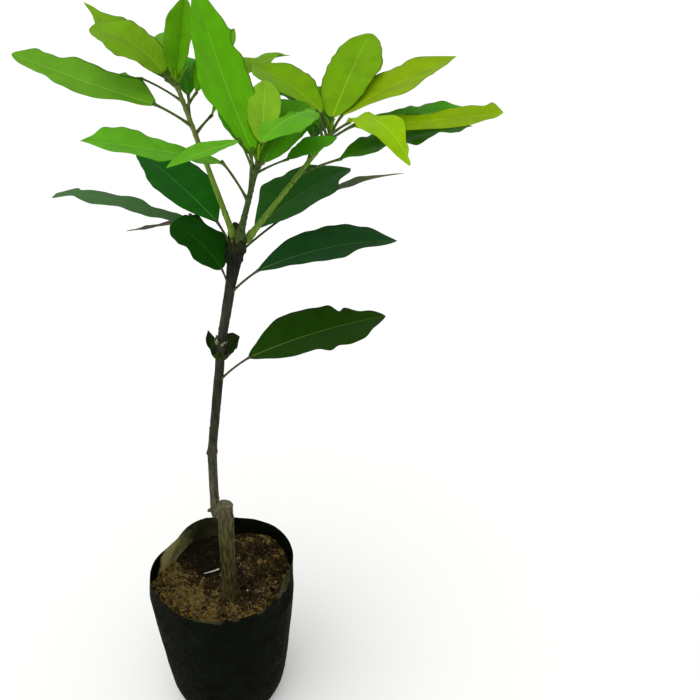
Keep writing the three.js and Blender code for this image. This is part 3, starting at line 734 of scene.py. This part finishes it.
# A leaf scar's ridge and groove: height, place above the scar, and spread up and round the stem.
SCAR_FORMS = [(0.55, 0, 1.6, 2.6), (-0.3, 2.6, 1.1, 2.2)]
# Rings round the scion: height, how far it stands out, and spread.
SCION_RINGS = [
    (KINK, 0.5, 1.8), (KINK - 3.5, -0.45, 1.2),
    *[(BUD_NODE + lift, 0.3, 0.7) for lift in (-4, -1.6, 0.8, 3.4)],
    *[(FORK - drop, 0.35, 0.9) for drop in (3, 8, 12.5, 18)],
]
STUB_SIDES = 64
STUB_GRAIN = [(0.35, (2, 2, 5), 12), (0.5, 9, 13)]
FISSURE = {"depth": 0.9, "pitch": (3, 3, 26), "seed": 11}
BARK_INSET = 0.4
# The cut falls away from the top: axis, where it starts along it, and how steeply.
CUT_FALLS = [(0, 4, 0.12), (0, 13, 0.9), (1, -14, 0.25)]
CUT_RINGS = (0.06, 0.3, 0.55, 0.8)
CUT_CHIPS = [(0.6, 2.5, 15)]
CALLUS_AXIS = [(SCION_FOOT - 7, 0.5, -13.4), (SCION_FOOT + 22, -2.6, -14.4)]
CALLUS_RADIUS = 5.9
CALLUS_GRAIN = [(0.9, 4, 21), (0.4, 1.6, 22)]
SPUR = {"start": (-5, -15, SCION_FOOT + 8), "course": (188, -8, 7.5), "droop": 10, "radius": 3}


def round_rings(axis, heights, reach):
    """Level rings round an upright axis: reach holds a radius for each height and turn."""
    turn = full_turn(reach.shape[1])
    centre = along(axis, heights)
    x = centre[:, :1] + reach * np.cos(turn)
    y = centre[:, 1:] + reach * np.sin(turn)
    return np.stack([x, y, np.broadcast_to(heights[:, None], x.shape)], axis=-1)


def lenticels(heights, turn, radius, count, seed):
    """Small raised corky dots scattered over a stem."""
    draw = np.random.default_rng(seed)
    raised = np.zeros((len(heights), len(turn)))
    for _ in range(count):
        height = draw.uniform(heights[0], heights[-1])
        away = turned(turn, draw.uniform(0, 2 * np.pi)) * radius
        dot = bump(heights - height, LENTICEL["tall"])[:, None] * bump(away, LENTICEL["wide"])
        raised += draw.uniform(0.12, 0.3) * dot
    return raised


def add_scion(skin):
    """The scion: ridges, scars of fallen leaves, the kink's ring, the bud node and the knuckle."""
    heights = np.arange(SCION_FOOT, FORK_TOP, SKIN_STEP)
    turn = full_turn(SCION_SIDES)
    shape = (len(heights), SCION_SIDES)
    radius = along(SCION_RADII, heights)
    plain = round_rings(SCION_AXIS, heights, np.broadcast_to(radius, shape)).reshape(-1, 3)
    near_fork = bump(heights - FORK, FORK_KNOBS_SPREAD)[:, None]
    knobby = near_fork * layers(plain, FORK_KNOBS).reshape(shape)
    raised = lenticels(heights, turn, SCION_MEAN_RADIUS, 150, 6)
    for i in range(LEAF_SCARS["count"]):
        past = heights - SCION_FOOT - LEAF_SCARS["first"] - LEAF_SCARS["pitch"] * i
        away = turned(turn, i * GOLDEN_ANGLE * RADIANS) * SCION_MEAN_RADIUS
        for height, above, tall, wide in SCAR_FORMS:
            raised += height * bump(past - above, tall)[:, None] * bump(away, wide)
    ring = sum(out * bump(heights - height, spread) for height, out, spread in SCION_RINGS)
    rough = layers(plain, SCION_GRAIN).reshape(shape)
    skin.rings(round_rings(SCION_AXIS, heights, radius + rough + knobby + raised + ring[:, None]), BARK)


def add_rootstock(skin):
    """The rootstock: fissured, flared at its foot and cut off aslant."""
    heights = np.arange(SOIL_HEIGHT - 2, STUB_TOP, SKIN_STEP)
    turn = full_turn(STUB_SIDES)
    shape = (len(heights), STUB_SIDES)
    rise = np.clip(heights - SOIL_HEIGHT, 0, None)
    flare = np.clip(1 - rise / FLARE_HEIGHT, 0, 1)[:, None] ** 2
    ridged = 1 + FLARE_RIDGES["depth"] * flare * np.cos(FLARE_RIDGES["count"] * turn)
    radius = (STUB_RADIUS - BARK_INSET + (FLARE_RADIUS - STUB_RADIUS) * flare) * ridged
    plain = round_rings(STUB_AXIS, heights, radius).reshape(-1, 3)
    fissures = np.abs(noise(plain, FISSURE["pitch"], FISSURE["seed"])) ** 0.7
    rough = FISSURE["depth"] * fissures + layers(plain, STUB_GRAIN) - FISSURE["depth"] / 3
    raised = rough.reshape(shape) + lenticels(heights, turn, STUB_RADIUS, 60, 14)
    rings = round_rings(STUB_AXIS, heights, radius + raised)
    cut = [rings[-1:] + (rings[-1].mean(0) - rings[-1:]) * share for share in CUT_RINGS]
    rings = np.concatenate([rings, *cut])
    fall = sum(slope * np.clip(rings[..., axis] - start, 0, None) for axis, start, slope in CUT_FALLS)
    chips = layers(rings.reshape(-1, 3), CUT_CHIPS).reshape(rings.shape[:2])
    rings[..., 2] = np.minimum(rings[..., 2], STUB_TOP - 1 - fall + chips)
    paint = np.full((len(rings) - 1, STUB_SIDES), BARK)
    paint[-len(CUT_RINGS):] = CUT_WOOD
    skin.rings(rings, paint)


def add_graft(skin):
    """The graft: a swollen callus over the joint, and the small dead spur on its left."""
    sides = 40
    heights = np.linspace(CALLUS_AXIS[0][0], CALLUS_AXIS[-1][0], sides)
    swell = np.sin(np.linspace(0.12, np.pi - 0.1, sides))[:, None] ** 0.6 * np.full(sides, CALLUS_RADIUS)
    plain = round_rings(CALLUS_AXIS, heights, swell).reshape(-1, 3)
    swell = swell + layers(plain, CALLUS_GRAIN).reshape(sides, sides)
    skin.rings(round_rings(CALLUS_AXIS, heights, swell), GRAFT)
    spur = bent_path(SPUR["start"], SPUR["course"], SPUR["droop"])
    t = np.linspace(0, 1, 12)
    skin.rings(tube(spur, t, (SPUR["radius"] * (1 - t) ** 0.5 + 0.5)[:, None], 10), GRAFT)


def make_trunk():
    skin = Skin()
    add_scion(skin)
    add_rootstock(skin)
    add_graft(skin)
    skin.piece("trunk_bark", [trunk_finish(), streaked("graft"), streaked("cut_wood")], "bark", "trunk")


# ---- Bud scales ----

DARK, GREEN, PALE, LATE, SHEATH = range(5)
# Rings of small scales: centre, radius, count, length, width, climb, drift up and down, seed and paint.
SCALE_RINGS = [
    ((30.5, -12, FORK - 5), 6.6, 30, 6.5, 3.4, 74, 7, 61, DARK),
    ((30.8, -12, FORK + 1), 6.6, 9, 7, 3, 70, 2, 63, GREEN),
    ((11.5, -12, BUD_NODE + 2), 4.2, 15, 6, 3.4, 72, 2.5, 62, PALE),
]
# Longer scales that clasp the stem: heading, climb, length, width and roll.
BUD_NODE_SCALES = [(186, 80, 22, 8, -60), (354, 78, 20, 9, 60), (248, 82, 13, 7, 0), (296, 82, 12, 7, 0),
                   (80, 80, 16, 9, 0)]
FORK_SCALES = [(182, 80, 14, 7, -20), (206, 82, 15, 7, -10), (158, 78, 15, 7, -20), (232, 84, 14, 7, 0),
               (4, 82, 13, 6, 20), (60, 80, 14, 7, 0), (104, 84, 29, 15, 0)]


def add_scales(skin, centre, radius, count, length, width, climb, drift, seed, paint):
    """Bud scales: small pointed cupped blades round a node, pressed against it."""
    draw = np.random.default_rng(seed)
    for i in range(count):
        heading = i * GOLDEN_ANGLE + draw.uniform(-15, 15)
        foot = np.array(centre) + radius * direction(heading, 0) + [0, 0, draw.uniform(-drift, drift)]
        size = length * draw.uniform(0.7, 1.15)
        blade = (heading, climb + draw.uniform(-12, 12), size, width)
        skin.rings(blade_rings(foot, leaf(0, None, blade, droop=-18, fold=-20, full=0.5), i)[0], paint)


def add_clasping(skin, centre, radius, rows, paint):
    for heading, climb, length, width, roll in rows:
        foot = np.array(centre) + radius * direction(heading, 0)
        scale = leaf(0, None, (heading, climb, length, width), droop=-10, roll=roll, fold=-34, full=0.7)
        skin.rings(blade_rings(foot, scale, 3)[0], paint)


def make_scales():
    """Scales round the bud node and the knuckle, and one small dark leaf."""
    skin = Skin()
    for ring in SCALE_RINGS:
        add_scales(skin, *ring)
    add_clasping(skin, (10.5, -12, BUD_NODE - 17), 3.2, BUD_NODE_SCALES, LATE)
    add_clasping(skin, (27.5, -12, FORK - 20), 4.6, FORK_SCALES, SHEATH)
    late_leaf = leaf(0, None, (106, 70, 21, 17), droop=20, fold=16, full=0.7)
    skin.rings(blade_rings(np.array((30, -6, FORK - 3)), late_leaf, 5)[0], LATE)
    skins = [streaked("dark_scale"), streaked("green_scale"), streaked("pale_scale"),
             leaf_finish("late_leaf", (40, 50, 12), 0.5), streaked("sheath")]
    skin.piece("bud_scales", skins, "bark")


# ---- Bag ----

FILM = 0.5
FILM_INSET = 0.6
FILM_SIDES = 360
FILM_STEP = 1.7
CORNER_RINGS = 16
WALL_MEAN_RADIUS = 78
SLANT = 0.5
# Depths of the folds, the slanting creases, the level ones and the crumples.
CREASE_DEPTHS = [1.8, 0.8, 0.5, 0.2]
SEAM = {"turn": 1.9, "height": 0.8, "spread": 1.5}
RIM_CALM = 0.6
LIP = 0.35
FLOOR_LIFT = 0.15
# Bands of dust inside the bare wall, each one a shade more: heading and spread.
DUST = [(134, 38), (147, 23), (150, 18), (154, 12)]
DUST_DEPTH = 3
SMEAR = {"heading": -16, "spread": 18, "depth": 16}


def dip(turn, shape):
    return shape["depth"] * bump(turned(turn, shape["heading"] * RADIANS), shape["spread"] * RADIANS)


def wall_radius(turn, height):
    """The bag's outside, out of round as the part's source has it."""
    rise = np.clip((height - BAG_CORNER) / (BAG_HEIGHT - BAG_CORNER), 0, 1)
    belly = BAG_BELLY["depth"] * np.sin(np.pi * rise ** BAG_BELLY["low"])
    upright = BAG_FOOT_RADIUS + (BAG_RIM_RADIUS - BAG_FOOT_RADIUS) * rise + belly
    low = np.clip(BAG_CORNER - height, 0, BAG_CORNER)
    corner = BAG_FOOT_RADIUS - BAG_CORNER + np.sqrt(BAG_CORNER**2 - low**2)
    free = height / BAG_HEIGHT
    bare = np.clip(height - SOIL_HEIGHT, 0, None) / (BAG_HEIGHT - SOIL_HEIGHT)
    ripple = BAG_RIPPLE["depth"] * np.sin(BAG_RIPPLE["folds"] * turn + height / BAG_RIPPLE["pitch"])
    slack = 1 + free * (ripple - dip(turn, BACK_FLAT)) - bare * dip(turn, RIM_TUCK)
    slack += free * (1 - bare) * dip(turn, SIDE_BULGE)
    return np.where(height >= BAG_CORNER, upright, corner) * slack


def film_radius(turn, height):
    """The film: the wall drawn in by long folds, slanting and level creases and small crumples."""
    turn, height = np.broadcast_arrays(turn, height)
    around, tall = turn.reshape(-1), height.reshape(-1)
    on_wall = np.stack([WALL_MEAN_RADIUS * np.cos(around), WALL_MEAN_RADIUS * np.sin(around), tall], axis=1)
    sheared = on_wall + np.stack([SLANT * tall, SLANT * tall, 0 * tall], 1)
    low_down = 0.4 + 0.6 * np.clip(1.5 - tall / 110, 0, 1)
    creases = [
        np.abs(noise(on_wall, (24, 24, 150), 31)),
        np.abs(noise(sheared, (26, 26, 90), 32)),
        np.abs(noise(on_wall, (50, 50, 13), 33)) * low_down,
        noise(on_wall, 8, 34) * np.abs(noise(on_wall, 30, 35)),
    ]
    depth = sum(deep * crease for deep, crease in zip(CREASE_DEPTHS, creases))
    calm = 1 - RIM_CALM * np.clip((tall - SOIL_HEIGHT) / (BAG_HEIGHT - SOIL_HEIGHT), 0, 1)
    seam = SEAM["height"] * bump(turned(around, SEAM["turn"]) * WALL_MEAN_RADIUS, SEAM["spread"])
    inward = np.clip(calm * depth - seam, -0.4, None).reshape(turn.shape)
    return wall_radius(turn, height) - FILM_INSET - inward


def rim_lift(turn, height):
    share = np.clip(1 - (BAG_HEIGHT - height) / RIM_WAVE["band"], 0, 1)
    flutter = 0.4 * np.sin(7 * turn + 1) + 0.25 * np.sin(17 * turn)
    return share * (RIM_WAVE["height"] * np.sin(RIM_WAVE["waves"] * turn) + flutter)


def film_wall(radius, turn, height):
    lifted = height + rim_lift(turn, height)
    return np.stack([radius * np.cos(turn), radius * np.sin(turn), np.broadcast_to(lifted, radius.shape)], -1)


def film_dust(shell, outside):
    """How dusty each face is: bands inside the bare wall, and the smear outside."""
    middle = shell[:-1].reshape(-1, 3)
    facing = np.arctan2(middle[:, 1], middle[:, 0])
    ragged = facing % (2 * np.pi) + 0.15 * noise(middle, 9, 36)
    dusty = np.zeros(len(middle), int)
    for heading, spread in DUST:
        dusty += np.abs(ragged - heading * RADIANS) < spread * RADIANS
    dusty = (dusty * (middle[:, 2] > SOIL_HEIGHT - DUST_DEPTH)).reshape(shell.shape[0] - 1, -1)
    below_rim = BAG_HEIGHT - middle[:, 2] + 6 * noise(middle, 9, 37)
    dusty[:outside] = (dip(facing, SMEAR) > below_rim).reshape(dusty.shape)[:outside]
    return dusty


def make_bag():
    turn = full_turn(FILM_SIDES)
    corner = BAG_CORNER * (1 - np.cos(np.linspace(0, np.pi / 2, CORNER_RINGS)))
    heights = np.array([*corner, *np.arange(BAG_CORNER + 2, BAG_HEIGHT, FILM_STEP), BAG_HEIGHT])[:, None]
    radius = film_radius(turn, heights)
    outside = film_wall(radius, turn, heights)
    inside = film_wall(radius - FILM, turn, heights)[::-1]
    lip = (outside[-1:] + inside[:1]) / 2 + [0, 0, LIP]
    shares = np.array([0.05, 0.35, 0.7])[:, None, None]
    base = outside[0] * shares
    base[..., 2] = FLOOR_LIFT
    lining = inside[-1] * shares[::-1]
    lining[..., 2] = inside[-1, :, 2].mean() + FILM
    shell = np.concatenate([base, outside, lip, inside, lining])
    skin = Skin()
    skin.rings(shell, film_dust(shell, len(base) + len(outside)))
    skin.piece("bag_film", [film_finish(share) for share in DUST_SHARES], "bag", "bag")


# ---- Soil ----

BED_SIDES = 260
BED_ROWS = 110
SKIRT = {"depth": 30, "top": 3, "step": 1.5}
SOIL_GRAIN = [(1.6, 13, 41), (1.1, 6, 42), (0.7, 3, 43), (0.5, 1.5, 44)]
# Hollows: depth, place and spread.
HOLLOWS = [(5, -22, 12, 22), (3, 18, 26, 16)]
WALL_BANK = {"height": 2.2, "spread": 7}
LIGHT_GRAIN = [(0.7, 10, 46), (0.6, 4, 47)]
# Dry, light places and dark ones: strength, place, how much shorter along y, and spread. The dark one at the
# back left is painted shade in the hollow, and the one by the trunk is the stub's painted shadow.
DRY_PLACES_AND_PAINTED_SHADE = [(1.1, -40, -22, 1.2, 42), (0.8, 0, -70, 1, 40), (1.3, -68, 22, 1, 22),
                (-1.5, -26, 42, 0.8, 34), (-0.9, 16, -6, 1, 22)]
DARK_CLOD, BROWN_CLOD, TAN_CLOD, TAN_FIBRE, BROWN_FIBRE, PALE_ROOT, COARSE_CLOD = range(7)
BIT_SKINS = ["dark_clod", "brown_clod", "tan_clod", "tan_fibre", "brown_fibre", "pale_root", "coarse_clod"]
CLEAR_X, CLEAR_Y, CLEAR_RADIUS = 5, -14, 13


def soil_bank(x, y):
    return SOIL_BANK["height"] * bump(np.hypot(x - SOIL_BANK["x"], y - SOIL_BANK["y"]), SOIL_BANK["spread"])


def soil_layers(x, y, rows):
    flat = np.stack([np.ravel(x), np.ravel(y), 0 * np.ravel(x)], axis=1)
    return layers(flat, rows).reshape(np.shape(x))


def soil_surface(x, y):
    """The soil's height: crumbly, hollow behind the trunk and banked at the back right."""
    hollow = sum(depth * bump(np.hypot(x - at_x, y - at_y), spread) for depth, at_x, at_y, spread in HOLLOWS)
    return SOIL_HEIGHT - 1 + soil_layers(x, y, SOIL_GRAIN) + soil_bank(x, y) - hollow


def soil_light(x, y):
    """How light the soil is, from 0, dark, where it is wet and where shade is painted, to 3, dry and strewn
    with fibre.
    """
    light = 1.1 + soil_layers(x, y, LIGHT_GRAIN)
    for strength, at_x, at_y, squash, spread in DRY_PLACES_AND_PAINTED_SHADE:
        light = light + strength * bump(np.hypot(x - at_x, squash * (y - at_y)), spread)
    return light


def make_bed(edge, rise):
    """The soil's surface, with a skirt down inside the film that rises with the bank."""
    turn = full_turn(BED_SIDES)
    share = np.linspace(1, 0.004, BED_ROWS)[:, None]
    x, y = share * edge * np.cos(turn), share * edge * np.sin(turn)
    banked = WALL_BANK["height"] * bump((1 - share) * edge, WALL_BANK["spread"])
    top = np.stack([x, y, soil_surface(x, y) + banked], axis=-1)
    low = np.arange(SOIL_HEIGHT - SKIRT["depth"], SOIL_HEIGHT - SKIRT["top"], SKIRT["step"])[:, None]
    low = low + rise * (low - low[0]) / SKIRT["depth"]
    radius = film_radius(turn, low) - FILM - 0.4
    skirt = np.stack([radius * np.cos(turn), radius * np.sin(turn), low], axis=-1)
    bed = np.concatenate([skirt[:1] * [0.5, 0.5, 1], skirt, top])
    # The bed's faces are darkest where shade is painted.
    paint = np.clip(np.round(soil_light(bed[:-1, :, 0], bed[:-1, :, 1])), 0, 2).astype(int)
    skin = Skin()
    skin.rings(bed, paint)
    skin.piece("soil_bed", [soil_finish(name) for name in SOILS], "soil", "soil")


def add_lump(bits, path, size, uneven, paint):
    """A lump with an uneven share of its size at each of its points."""
    rings, sides = uneven.shape
    t = np.linspace(0, 1, rings)
    swell = np.sin(np.pi * (0.12 + 0.76 * t))[:, None] * size
    bits.rings(tube(path, t, swell * uneven, sides), paint)


def add_crumbs(bits, draw, place, count=1700, reach=0.96, large_share=0.12):
    for _ in range(count):
        x, y, z = place(reach)
        if math.hypot(x - CLEAR_X, y - CLEAR_Y) < CLEAR_RADIUS:
            continue
        light = float(soil_light(x, y)) + draw.uniform(-0.6, 0.6)
        size = draw.uniform(0.5, 1.9) * (1.5 if draw.random() < large_share else 1)
        path = bent_path((x, y, z), (draw.uniform(0, 360), draw.uniform(-30, 40), size * 2.2))
        # Crumbs are darkest where shade is painted on the soil.
        paint = int(np.clip(round(light), DARK_CLOD, TAN_CLOD))
        add_lump(bits, path, size, draw.uniform(0.55, 1.15, (5, 7)), paint)


def add_fibres(bits, draw, place, count=1100, reach=0.82, least_light=0.6, tan_light=1.6):
    """Fibres lie on the drier soil and not in the painted shade, tan ones where it is lightest."""
    t = np.linspace(0, 1, 6)
    for _ in range(count):
        x, y, z = place(reach)
        light = float(soil_light(x, y)) + draw.uniform(-0.5, 0.5)
        if light < least_light:
            continue
        length = draw.uniform(5, 16)
        bend = draw.uniform(-50, 60)
        start = (x, y, z + draw.uniform(0.1, 1.1))
        path = bent_path(start, (draw.uniform(0, 360), draw.uniform(-4, 12), length), bend)
        radius = (draw.uniform(0.14, 0.42) * (1.05 - 0.6 * t))[:, None]
        bits.rings(tube(path, t, radius, 4), BROWN_FIBRE if light < tan_light else TAN_FIBRE)


def add_chunks(bits, draw, count=60, sunk=0.3):
    """Coarse chunks at the right."""
    for _ in range(count):
        out, around = draw.uniform(24, 70), draw.uniform(-30, 75)
        x, y = (out * direction(around, 0))[:2]
        size = draw.uniform(2, 4.2)
        start = (x, y, float(soil_surface(x, y)) - sunk * size)
        path = bent_path(start, (draw.uniform(0, 360), draw.uniform(-20, 30), size * 2))
        uneven = draw.uniform(0.6, 1.1, (6, 8))
        add_lump(bits, path, size, uneven, int(draw.choice([DARK_CLOD, BROWN_CLOD, COARSE_CLOD])))


def make_bits(edge):
    """Crumbs, fibres, chunks, a pale root at the left and a white bit by the trunk."""
    draw = np.random.default_rng(45)
    edge_turns = np.linspace(0, 2 * np.pi, BED_SIDES)

    def place(reach):
        around = draw.uniform(0, 2 * np.pi)
        out = math.sqrt(draw.uniform(0.02, 1)) * reach * np.interp(around, edge_turns, edge)
        x, y = out * math.cos(around), out * math.sin(around)
        return x, y, float(soil_surface(x, y))

    bits = Skin()
    add_crumbs(bits, draw, place)
    add_fibres(bits, draw, place)
    add_chunks(bits, draw)
    t = np.linspace(0, 1, 14)
    root = bent_path((-8, 22, SOIL_HEIGHT + 0.5), (206, 4, 20), droop=-14)
    bits.rings(tube(root, t, (0.9 * (1.1 - t) ** 0.5)[:, None], 8), PALE_ROOT)
    t = np.linspace(0, 1, 7)
    pebble = bent_path((27, -13, SOIL_HEIGHT), (20, 10, 3.2))
    bits.rings(tube(pebble, t, (1.7 * np.sin(np.pi * (0.1 + 0.8 * t)))[:, None], 8), PALE_ROOT)
    bits.piece("soil_bits", [streaked(name) for name in BIT_SKINS], "soil", "soil")


def make_soil():
    turn = full_turn(BED_SIDES)
    wall = wall_radius(turn, np.full(BED_SIDES, float(SOIL_HEIGHT)))
    rise = soil_bank(wall * np.cos(turn), wall * np.sin(turn))
    edge = film_radius(turn, SOIL_HEIGHT + rise) - FILM - 0.1
    make_bed(edge, rise)
    make_bits(edge)


# ---- The plant in its bag ----


def make_stem_leaves(leaf_skins):
    blades, stalks = Skin(), Skin()
    for number, row in enumerate(TRUNK_LEAVES.values()):
        x, y = along(SCION_AXIS, row["at"])
        add_leaf(blades, stalks, (x, y, row["at"]), row, number)
    blades.piece("stem_leaf_blades", leaf_skins, "old_leaf", *TRUNK_LEAVES)
    stalks.piece("stem_leaf_stalks", [streaked("brown_stalk")], "old_leaf", *TRUNK_LEAVES)


def make_plant():
    leaf_skins = leaf_materials()
    olive, dark, green, stalk = map(streaked, ("olive_shoot", "dark_shoot", "green_shoot", "green_stalk"))
    make_trunk()
    make_shoot("left", [green], 51)
    make_shoot("middle", [dark], 52)
    make_shoot("right", [green], 53)
    make_stem_leaves(leaf_skins)
    make_scales()
    first = len(TRUNK_LEAVES)
    for side, twig in zip(SHOOTS, (olive, dark, green)):
        first = make_crown(side, first, leaf_skins, [twig, stalk])
    make_bag()
    make_soil()


# ---- Floor, light and camera ----

PHOTO_WIDTH = 700
SHIFT_PIXELS = 60


def make_studio():
    bpy.ops.mesh.primitive_plane_add(size=40)
    floor = bpy.context.object
    floor.name = "floor"
    floor.data.materials.append(finish("pale_floor", (246, 247, 244), 0.9, 0.1))
    world = bpy.data.worlds.new("studio")
    bpy.context.scene.world = world
    world.use_nodes = True
    sky = world.node_tree.nodes["Background"].inputs
    sky["Color"].default_value = (1, 1, 1, 1)
    sky["Strength"].default_value = 0.75
    key = bpy.data.lights.new("key", "SUN")
    key.energy = 1.5
    key.angle = 80 * RADIANS
    lamp = bpy.data.objects.new("key", key)
    lamp.rotation_euler = Vector((-0.45, -0.5, 1)).to_track_quat("Z", "Y").to_euler()
    bpy.context.collection.objects.link(lamp)
    bpy.context.scene.view_settings.view_transform = "Standard"


def make_camera():
    """The photograph's view: a little right of the trunk, 30 degrees down."""
    lens = bpy.data.cameras.new("camera")
    lens.lens = 40
    lens.sensor_width = 36
    lens.shift_x = SHIFT_PIXELS / PHOTO_WIDTH
    camera = bpy.data.objects.new("camera", lens)
    camera.location = (0.078, -0.664, 0.879)
    camera.rotation_euler = (60 * RADIANS, 0, 0)
    bpy.context.collection.objects.link(camera)
    bpy.context.scene.camera = camera


make_camera()
make_studio()
make_plant()
